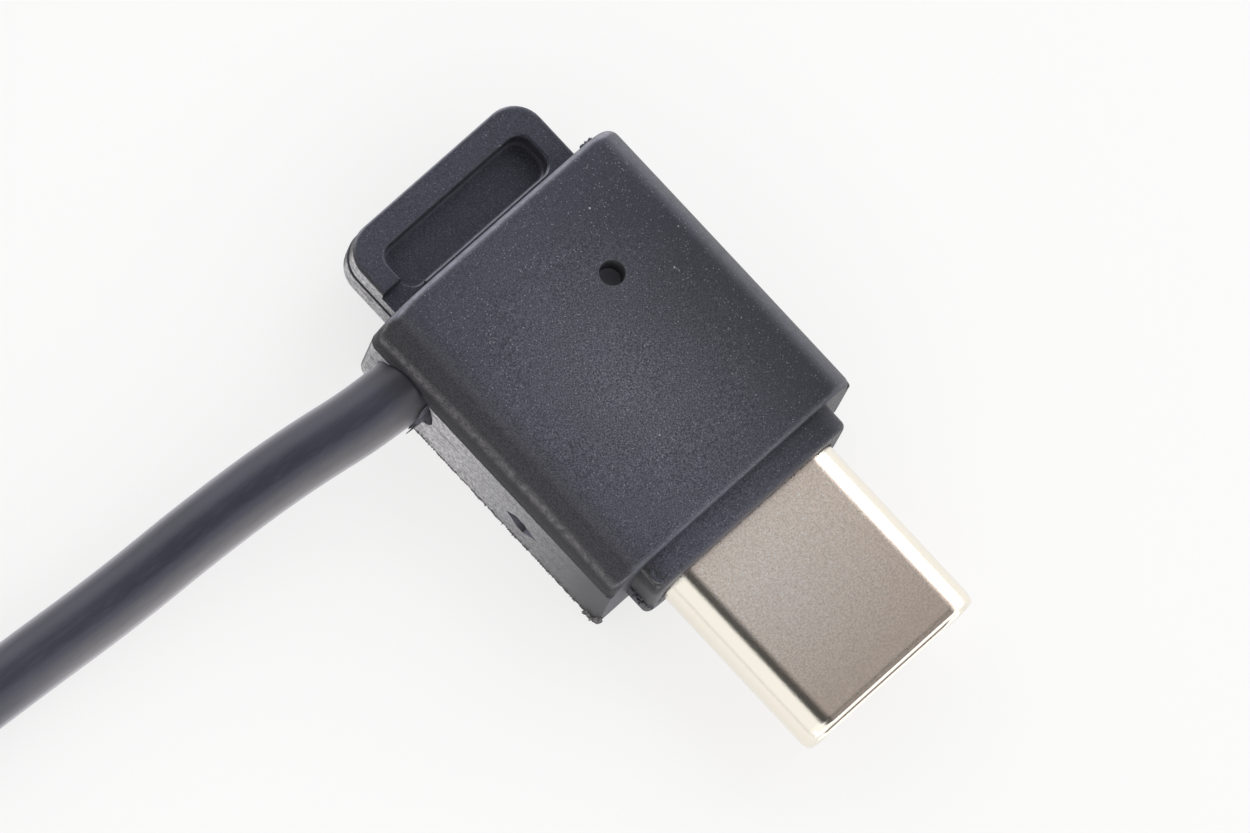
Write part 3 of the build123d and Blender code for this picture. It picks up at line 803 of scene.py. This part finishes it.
def make_collar_button():
    """Low oval button on the collar's left end, where a pin pushed the moulding out."""
    middle, base = (-4.28, -4.24), PLUG_Z + 1.88
    profile = ((0.34, -0.3), (0.34, 0.02), (0.31, 0.055), (0.24, 0.07), (0.18, 0.045), (0.02, 0.04))
    rings = [level_ring(middle, radius, base + rise, 12, 0.8) for radius, rise in profile]
    return loft("collar_button", rings)


def tab_outline(grow, steps=10):
    """Plan of the tab, grown outwards by a little, from its root round the rear corners."""
    half = TAB_HALF + grow
    rear = TAB_REAR + grow
    corner = 1.2
    outline = [(-half, BLOCK_REAR - 0.7), (half, BLOCK_REAR - 0.7)]
    for side, start in ((1, 0), (-1, 90)):
        for number in range(steps + 1):
            angle = math.radians(start + 90 * number / steps)
            x = side * (half - corner) + corner * math.cos(angle)
            outline.append((x, rear - corner + corner * math.sin(angle)))
    return outline


def make_tab():
    """Pull tab: two mould halves that meet in a thin dark line, the lower one a touch wider."""
    layers = [
        (TAB_LOW, -0.20),
        (TAB_LOW + 0.05, -0.09),
        (TAB_LOW + 0.16, 0.0),
        (2.38, 0.0),
        (2.44, -0.02),
        (2.48, -0.10),
        (2.53, -0.10),
        (2.57, -0.05),
        (TAB_TOP - 0.16, -0.07),
        (TAB_TOP - 0.08, -0.09),
        (TAB_TOP - 0.03, -0.14),
        (TAB_TOP, -0.22),
    ]
    rings = [[(x, y, z) for x, y in tab_outline(grow)] for z, grow in layers]
    return loft("tab", rings)


def make_pocket_cutter():
    """Recess in the tab: rolled rim, upright wall and a wide soft corner at its floor."""
    front = BLOCK_REAR + 0.27
    rear = TAB_REAR - 1.15
    floor = TAB_TOP - 0.8
    corner = 0.16
    layers = []
    for number in range(7):
        angle = math.radians(15 * number)
        layers.append((floor + corner * (1 - math.cos(angle)), -corner * (1 - math.sin(angle))))
    for rise, grow in ((-0.10, 0.0), (-0.07, 0.012), (-0.02, 0.06), (0.02, 0.11), (0.6, 0.11)):
        layers.append((TAB_TOP + rise, grow))
    middle = (front + rear) / 2
    half_length = (rear - front) / 2
    rings = []
    for z, grow in layers:
        low = middle - half_length - grow
        high = middle + half_length + grow
        ahead = middle - (half_length + min(grow, 0.07))
        outline = rounded_box_outline(3.5 + grow, low, high, 0.6, 0.6, 8)
        rings.append([(x, max(y, ahead), z) for x, y in outline])
    return loft("pocket_cutter", rings)


def make_notch_cutter():
    """Way out of the pocket through the tab's left rim, next to the block."""
    left, right, front = -5.2, -2.88, BLOCK_REAR + 0.03
    rings = []
    for rise, grow in ((-0.45, 0.0), (-0.14, 0.0), (-0.05, 0.04), (0.01, 0.13), (0.5, 0.13)):
        rear = BLOCK_REAR + 0.85 + grow
        corners = ((left, front), (right, front), (right, rear), (left, rear))
        rings.append([(x, y, TAB_TOP + rise) for x, y in corners])
    return loft("notch_cutter", rings)


def make_pin_hole_cutter():
    """Blind hole with a crisp rim, left in the top face by a moulding pin."""
    profile = ((0.02, 4.12), (0.44, 4.13), (0.475, 4.18), (0.478, 5.10), (0.49, 5.16), (0.50, 5.6))
    return loft("pin_hole_cutter", [level_ring(PIN_HOLE, radius, z, 8) for radius, z in profile])


def make_split_cutter():
    """Split in the left wall: a fine cut that opens to a dark mouth and closes to a point."""
    y, z = BLOCK_REAR - 8.45, 1.72
    rings = []
    for depth, grow in ((0.9, 0.5), (0.3, 0.8), (0.05, 1.0), (-0.03, 1.06), (-0.3, 1.06)):
        ring = []
        for number in range(48):
            angle = math.radians(number * 7.5)
            along = math.cos(angle)
            edge = 3.0 * math.copysign(1.0, math.sin(angle))
            ragged = noise.noise(Vector((2.3 * along, edge, 1.7)))
            swell = 0.42 * max(0.0, 1 - along ** 2) * (1 + 0.55 * ragged) + 0.02
            high = grow * swell * math.sin(angle)
            wave = 0.03 * math.sin(5 * along)
            ring.append((WALL_X + depth, y + 0.80 * along, z + high + wave))
        rings.append(ring)
    return loft("split_cutter", rings)


def make_cable_hole_cutter():
    """Hole that the cable leaves by: close above and behind it, torn open low down at the front."""
    torn_towards = math.radians(192)
    stations = (
        (1.4, 1.26, 0.0),
        (0.7, 1.29, 0.16),
        (0.15, 1.32, 0.32),
        (0.0, 1.33, 0.38),
        (-0.4, 1.34, 0.40),
    )
    rings = []
    for depth, wide, torn in stations:
        ring = []
        for number in range(72):
            angle = math.radians(number * 5)
            place = Vector((2.6 * math.cos(angle), 2.6 * math.sin(angle), 3.1 + depth * 0.6))
            open_side = max(0.0, math.cos(angle - torn_towards)) ** 0.9
            radius = wide + torn * open_side * (0.85 + 0.6 * noise.noise(place))
            y = CABLE_Y + radius * math.cos(angle)
            ring.append((WALL_X + depth, y, PLUG_Z + radius * math.sin(angle)))
        rings.append(ring)
    return loft("cable_hole_cutter", rings)


def make_shell_slot_cutter():
    """Way for the plug shell through the collar into the block."""
    outline = rounded_box_outline(4.165, PLUG_Z - 1.24, PLUG_Z + 1.24, 1.23, 1.23)
    rings = []
    for y, grow in (
        (COLLAR_FRONT - 0.5, 0.03),
        (COLLAR_FRONT, 0.03),
        (COLLAR_FRONT + 0.08, 0.0),
        (SHELL_REAR, 0.0),
    ):
        tall = 1 + grow
        rings.append([(x * (1 + grow / 4), y, PLUG_Z + (z - PLUG_Z) * tall) for x, z in outline])
    return loft("shell_slot_cutter", rings)


def make_inner_cutter():
    """Room for the inner mould."""
    low, high = in_mm(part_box("usb_c_inner_mould"))
    corners = ((low.x, low.z), (high.x, low.z), (high.x, high.z), (low.x, high.z))
    return loft("inner_cutter", [[(x, y, z) for x, z in corners] for y in (low.y, high.y)])


def make_overmould(finish):
    """The whole moulding of the USB-C end."""
    head = combine(make_block(), [make_collar(), make_collar_button(), make_tab()], "UNION")
    cutters = [
        make_inner_cutter(),
        make_shell_slot_cutter(),
        make_pocket_cutter(),
        make_notch_cutter(),
        make_pin_hole_cutter(),
        make_split_cutter(),
        make_cable_hole_cutter(),
    ]
    head = finished(combine(head, cutters, "DIFFERENCE"), 32, finish)
    head.name = "usb_c_moulding"
    return head


# Leftovers of the moulding


def crumb_tree(finish):
    """Node tree that strews small rough crumbs along a path."""
    tree = bpy.data.node_groups.new("crumbs_along_edge", "GeometryNodeTree")
    face = tree.interface
    face.new_socket("Geometry", in_out="INPUT", socket_type="NodeSocketGeometry")
    for name in ("Spacing", "Crumb Size", "Scatter"):
        face.new_socket(name, in_out="INPUT", socket_type="NodeSocketFloat")
    face.new_socket("Seed", in_out="INPUT", socket_type="NodeSocketInt")
    face.new_socket("Geometry", in_out="OUTPUT", socket_type="NodeSocketGeometry")
    add = tree.nodes.new
    given = add("NodeGroupInput").outputs

    def drawn(low, high):
        """A vector drawn for each crumb between two corners."""
        node = add("FunctionNodeRandomValue")
        node.data_type = "FLOAT_VECTOR"
        return fill(node, {0: low, 1: high, "Seed": given["Seed"]}).outputs[0]

    def stretched(vector, amount):
        """A vector times an amount."""
        node = add("ShaderNodeVectorMath")
        node.operation = "SCALE"
        return fill(node, {0: vector, "Scale": amount}).outputs[0]

    sample = add("GeometryNodeResampleCurve")
    sample.mode = "LENGTH"
    fill(sample, {"Curve": given["Geometry"], "Length": given["Spacing"]})
    shake = stretched(drawn((-1.0, -1.0, -0.2), (0.3, 1.0, 0.8)), given["Scatter"])
    places = add("GeometryNodeSetPosition")
    fill(places, {"Geometry": sample.outputs["Curve"], "Offset": shake})
    ball = fill(add("GeometryNodeMeshIcoSphere"), {"Radius": 1.0, "Subdivisions": 2})
    dent = fill(add("ShaderNodeTexNoise"), {"Scale": 1.4})
    push = stretched(add("GeometryNodeInputNormal").outputs[0], dent.outputs["Fac"])
    lump = add("GeometryNodeSetPosition")
    fill(lump, {"Geometry": ball.outputs["Mesh"], "Offset": push})
    turn = drawn((0.0, 0.0, 0.0), (6.28, 6.28, 6.28))
    size = drawn((0.1, 0.1, 0.1), (1.0, 1.0, 0.8))
    strew = fill(add("GeometryNodeInstanceOnPoints"), {
        "Points": places.outputs["Geometry"],
        "Instance": lump.outputs["Geometry"],
        "Rotation": turn,
        "Scale": stretched(size, given["Crumb Size"]),
    })
    real = fill(add("GeometryNodeRealizeInstances"), {"Geometry": strew.outputs["Instances"]})
    paint = fill(add("GeometryNodeSetMaterial"), {"Geometry": real.outputs[0], "Material": finish})
    fill(add("NodeGroupOutput"), {"Geometry": paint.outputs["Geometry"]})
    return tree


def make_crumbs(name, tree, path, spacing, crumb, scatter, seed):
    """Crumbs along an open path given in millimetres."""
    curve = bpy.data.curves.new(name, "CURVE")
    curve.dimensions = "3D"
    add_spline(curve, "POLY", path)
    piece = put(name, curve)
    strew = piece.modifiers.new("strew", "NODES")
    strew.node_group = tree
    sockets = [item for item in tree.interface.items_tree if item.in_out == "INPUT"]
    inputs = {item.name: item.identifier for item in sockets}
    strew[inputs["Spacing"]] = spacing * MM
    strew[inputs["Crumb Size"]] = crumb * MM
    strew[inputs["Scatter"]] = scatter * MM
    strew[inputs["Seed"]] = seed
    graph = bpy.context.evaluated_depsgraph_get()
    mesh = bpy.data.meshes.new_from_object(piece.evaluated_get(graph))
    bpy.data.objects.remove(piece)
    return put(name, mesh)


def make_flash(finish):
    """Thin ragged fin left by the mould along the left wall's foot and up its front corner."""
    path = [(WALL_X, BLOCK_REAR - 0.6 - number * 0.08, 0.02) for number in range(148)]
    path = [point for point in path if point[1] > BLOCK_FRONT + 0.3]
    path += [(WALL_X + 0.1, BLOCK_FRONT + 0.12, 0.02 + number * 0.09) for number in range(14)]
    rings = []
    for x, y, z in path:
        rough = noise.noise(Vector((x * 2, y * 2.1, z * 2.1)))
        rough += 0.7 * noise.noise(Vector((y * 7.3, z * 7.1, 4.0)))
        reach = max(0.004, 0.022 + 0.05 * rough)
        rings.append([
            (x + 0.03, y, z + 0.001),
            (x - reach, y - 0.3 * reach, z + 0.004),
            (x - reach, y - 0.3 * reach, z + 0.024),
            (x + 0.03, y, z + 0.07),
        ])
    return dress(to_metres(skin("foot_flash", rings)), finish)


def make_cable_lip(finish):
    """Torn lip of the moulding that clings under the cable where it leaves the wall."""
    steps = 40
    rings = []
    for number in range(steps + 1):
        angle = math.radians(150 + number * 1.9)
        torn = 0.72 + 0.50 * noise.noise(Vector((number * 0.21, 2.0, 0.0)))
        torn += 0.18 * noise.noise(Vector((number * 0.8, 7.0, 0.0)))
        reach = max(0.03, math.sin(math.pi * number / steps) ** 0.4 * torn)
        outline = (
            (0.12, 1.33),
            (-reach * 0.5, 1.33),
            (-reach, 1.285),
            (-reach, 1.258),
            (0.12, 1.258),
        )
        ring = []
        for x, r in outline:
            y, z = CABLE_Y + r * math.cos(angle), PLUG_Z + r * math.sin(angle)
            ring.append((WALL_X + x, y, z))
        rings.append(ring)
    return dress(to_metres(skin("cable_lip", rings)), finish)


# Plug shell


def slot_outline(width, height, steps=16):
    """Long hole shape as x, z pairs about the plug's middle."""
    radius = height / 2
    outline = []
    for side, start in ((1, -90), (-1, 90)):
        for number in range(steps + 1):
            angle = math.radians(start + 180 * number / steps)
            x = side * (width / 2 - radius) + radius * math.cos(angle)
            outline.append((x, PLUG_Z + radius * math.sin(angle)))
    return outline


def make_plug_shell(finish):
    """Drawn tube with a rolled front rim, inside and outside in one skin."""
    stations = [
        (SHELL_REAR, SHELL_WALL),
        (PLUG_TIP + 0.35, SHELL_WALL),
        (PLUG_TIP + 0.18, SHELL_WALL - 0.02),
    ]
    for number in range(9):
        angle = math.radians(180 * number / 8)
        y = PLUG_TIP + 0.20 - 0.20 * math.sin(angle)
        stations.append((y, 0.17 + 0.13 * math.cos(angle)))
    stations += [(PLUG_TIP + 0.24, 0.025), (PLUG_TIP + 0.31, 0.010), (PLUG_TIP + 0.42, 0.0)]
    straight = SHELL_REAR - PLUG_TIP - 0.42
    stations += [(PLUG_TIP + 0.42 + number * straight / 12, 0.0) for number in range(1, 13)]
    rings = []
    for y, inset in stations:
        outline = slot_outline(SHELL_WIDTH - 2 * inset, SHELL_HEIGHT - 2 * inset)
        rings.append([(x, y, z) for x, z in outline])
    return finished(skin("plug_shell", rings, closed=True), 40, finish)


# Phone plug


def make_phone_grip(finish):
    """Grip of the phone plug with soft edges all round."""
    low, high = in_mm(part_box("phone_plug_grip"))
    between = [low.x + 0.6, (low.x + high.x) / 2, high.x - 0.6]
    rings = []
    for x, inset in end_stations(low.x, high.x, 0.4, 0.4, 6, between):
        ring = rounded_box_outline(3.8 - inset, low.z + inset, high.z - inset, 1.1, 1.1, 8)
        rings.append([(x, PHONE_Y + y, z) for y, z in ring])
    return finished(loft("phone_plug_grip_skin", rings), 40, finish)


def make_detent_cutter(low, high, side):
    """Round scallop with a small lead at both faces, for one side of the tongue."""
    half = (high.y - low.y) / 2
    middle = (high.x - 5.6, PHONE_Y + side * (half + 0.25))
    profile = [(0.68, 0.2), (0.66, 0.01), (0.57, -0.1), (0.55, -0.2)]
    rings = [level_ring(middle, radius, high.z + rise, 10) for radius, rise in profile]
    rings += [level_ring(middle, radius, low.z - rise, 10) for radius, rise in profile[::-1]]
    return loft("detent_cutter", rings)


def make_phone_tongue(finish):
    """Steel frame of the phone plug: rolled edges, side detents, a window and a channel to it."""
    low, high = in_mm(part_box("phone_plug_tongue"))
    half = (high.y - low.y) / 2
    length = high.x - low.x
    rings = []
    for z, inset in end_stations(low.z, high.z, 0.26, 0.26, 5, [PHONE_Z]):
        outline = rounded_box_outline(half - inset, 0.0, length - inset, 1.3 - inset, 0.02)
        rings.append([(low.x + y, PHONE_Y - x, z) for x, y in outline])
    tongue = loft("phone_plug_frame", rings)
    cutters = [make_detent_cutter(low, high, side) for side in (-1, 1)]
    first, last = in_mm(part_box("phone_plug_insert"))
    middle = (first.x + last.x) / 2
    outline = rounded_box_outline(
        (last.x - first.x) / 2 + 0.01,
        first.y - 0.01,
        last.y + 0.01,
        WINDOW_CORNER,
        WINDOW_CORNER,
        8,
    )
    levels = (low.z - 0.2, high.z + 0.2)
    rings = [[(middle + x, y, z) for x, y in outline] for z in levels]
    cutters.append(loft("window_cutter", rings))
    half_tall = CHANNEL_TALL / 2
    outline = rounded_box_outline(CHANNEL_HALF, -half_tall, half_tall, 0.02, 0.02, 2)
    rings = [[(x, PHONE_Y + y, PHONE_Z + z) for y, z in outline] for x in (low.x - 0.5, middle)]
    cutters.append(loft("channel_cutter", rings))
    return finished(combine(tongue, cutters, "DIFFERENCE"), 35, finish)


def make_phone_pads(finish):
    """All sixteen contact pads as one piece, each with its corners taken off."""
    names = [name for name in frame["nodes"] if "_pad_" in name]
    corner = 0.12 * MM
    shape = bmesh.new()
    for name in sorted(names):
        low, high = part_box(name)
        middle, half = (low.x + high.x) / 2, (high.x - low.x) / 2
        outline = rounded_box_outline(half, low.y, high.y, corner, corner, 4)
        levels = (high.z, low.z) if "lower" in name else (low.z, high.z)
        bridge(shape, [[(middle + x, y, z) for x, y in outline] for z in levels])
    pads = dress(settled("phone_plug_pads", shape), finish)
    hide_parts(*names)
    return pads


# Set


def make_floor():
    """Plain pale table, lit a little from below."""
    finish = Finish("pale_table", (0.20, 0.20, 0.20), 0.7, specular=0.1)
    finish.colour(finish.mix(finish.cloud(60.0), (0.197, 0.198, 0.20), (0.203, 0.201, 0.20)))
    fill(finish.shader, {"Emission Color": (1.0, 0.995, 0.99, 1.0), "Emission Strength": 0.748})
    shape = bmesh.new()
    bmesh.ops.create_grid(shape, x_segments=2, y_segments=2, size=1.5)
    mesh = bpy.data.meshes.new("pale_table")
    shape.to_mesh(mesh)
    shape.free()
    table = dress(put("pale_table", mesh), finish.material)


def soft_light(name, place, wide, deep, power):
    """Rectangular soft box turned to the object."""
    data = bpy.data.lights.new(name, "AREA")
    data.shape = "RECTANGLE"
    data.size = wide
    data.size_y = deep
    data.energy = power
    lamp = bpy.data.objects.new(name, data)
    bpy.context.scene.collection.objects.link(lamp)
    lamp.location = place
    lamp.rotation_euler = (-Vector(place)).to_track_quat("-Z", "Y").to_euler()


def light_studio():
    """Light tent: bright all round up to a dim cap overhead, with four soft boxes in it."""
    world = bpy.data.worlds.new("light_tent")
    world.use_nodes = True
    tree = world.node_tree
    place = tree.nodes.new("ShaderNodeTexCoord").outputs["Generated"]
    parts = fill(tree.nodes.new("ShaderNodeSeparateXYZ"), {"Vector": place}).outputs
    strength = 1.0
    for axis, low, high, to_low, to_high in (
        ("Z", 0.825, 0.865, 1.45, 0.10),
        ("Z", 0.03, 0.10, 0.55, 1.0),
        ("X", -0.7, 0.3, 0.78, 1.0),
        ("Y", -0.1, 0.6, 1.0, 0.62),
    ):
        step = fill(tree.nodes.new("ShaderNodeMapRange"), {"Value": parts[axis]})
        fill(step, {"From Min": low, "From Max": high, "To Min": to_low, "To Max": to_high})
        both = tree.nodes.new("ShaderNodeMath")
        both.operation = "MULTIPLY"
        strength = fill(both, {0: strength, 1: step.outputs["Result"]}).outputs["Value"]
    fill(tree.nodes["Background"], {"Color": (1.0, 1.0, 1.0, 1.0), "Strength": strength})
    bpy.context.scene.world = world
    soft_light("right_box", (0.55, 0.10, 0.40), 0.50, 0.45, 1.25)
    soft_light("rear_box", (0.10, 0.60, 0.36), 0.70, 0.45, 0.7)
    soft_light("top_box", (0.22, 0.07, 0.62), 0.45, 0.42, 0.235)
    soft_light("front_strip", (-0.46, -0.52, 0.16), 0.60, 0.16, 0.9)
    bpy.context.scene.view_settings.view_transform = "Standard"


photo_camera()
finishes = make_finishes()
cable = make_cable(finishes["jacket"])
head = make_overmould(finishes["moulding"])
shell = make_plug_shell(finishes["shell_steel"])
grip = make_phone_grip(finishes["grip"])
pads = make_phone_pads(finishes["contact_gold"])
tongue = make_phone_tongue(finishes["tongue_steel"])
band = make_tie(finishes["tie"])
crumbs = crumb_tree(finishes["moulding"])
frayed = crumb_tree(finishes["frayed"])
foot = [(-6.0, 8.2, 0.09), (-6.0, -3.2, 0.09)]
corner = [(-5.98, -3.15, 0.14), (-5.96, -3.62, 0.16), (-5.94, -3.66, 0.6)]
tab_end = [(4.55, 9.12, 3.5), (5.05, 9.10, 3.95)]
collar_rim = [(-4.2, -4.72, 1.9), (-4.05, -4.72, 3.3), (-3.2, -4.72, 3.78), (3.6, -4.72, 3.80)]
collar_side = [(-4.72, -3.8, 2.3), (-4.74, -4.5, 2.2), (-4.55, -4.72, 2.0)]
leftovers = [
    make_flash(finishes["frayed"]),
    make_cable_lip(finishes["moulding"]),
    make_crumbs("foot_crumbs", frayed, foot, 0.13, 0.05, 0.05, 3),
    make_crumbs("corner_crumbs", frayed, corner, 0.05, 0.12, 0.08, 8),
    make_crumbs("tab_crumbs", crumbs, tab_end, 0.06, 0.09, 0.07, 5),
    make_crumbs("collar_crumbs", crumbs, collar_rim, 0.16, 0.045, 0.03, 6),
    make_crumbs("collar_shreds", crumbs, collar_side, 0.07, 0.12, 0.10, 4),
]

for entry in frame["record"]["subparts"]:
    dress(frame["nodes"][entry["node"]], finishes[entry["material_slot"]])

for piece, node, slot in (
    (head, "usb_c_overmould", "moulding"),
    (shell, "usb_c_plug_shell", "shell_steel"),
    (grip, "phone_plug_grip", "moulding"),
    (tongue, "phone_plug_tongue", "tongue_steel"),
    (band, "coil_tie", "tie"),
):
    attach(piece, "root")
    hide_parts(node)

for piece in leftovers:
    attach(piece, "root")
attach(pads, "root")
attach(cable, "root")
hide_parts("cable_lead", "cable_coil", "cable_tail")

make_floor()
light_studio()
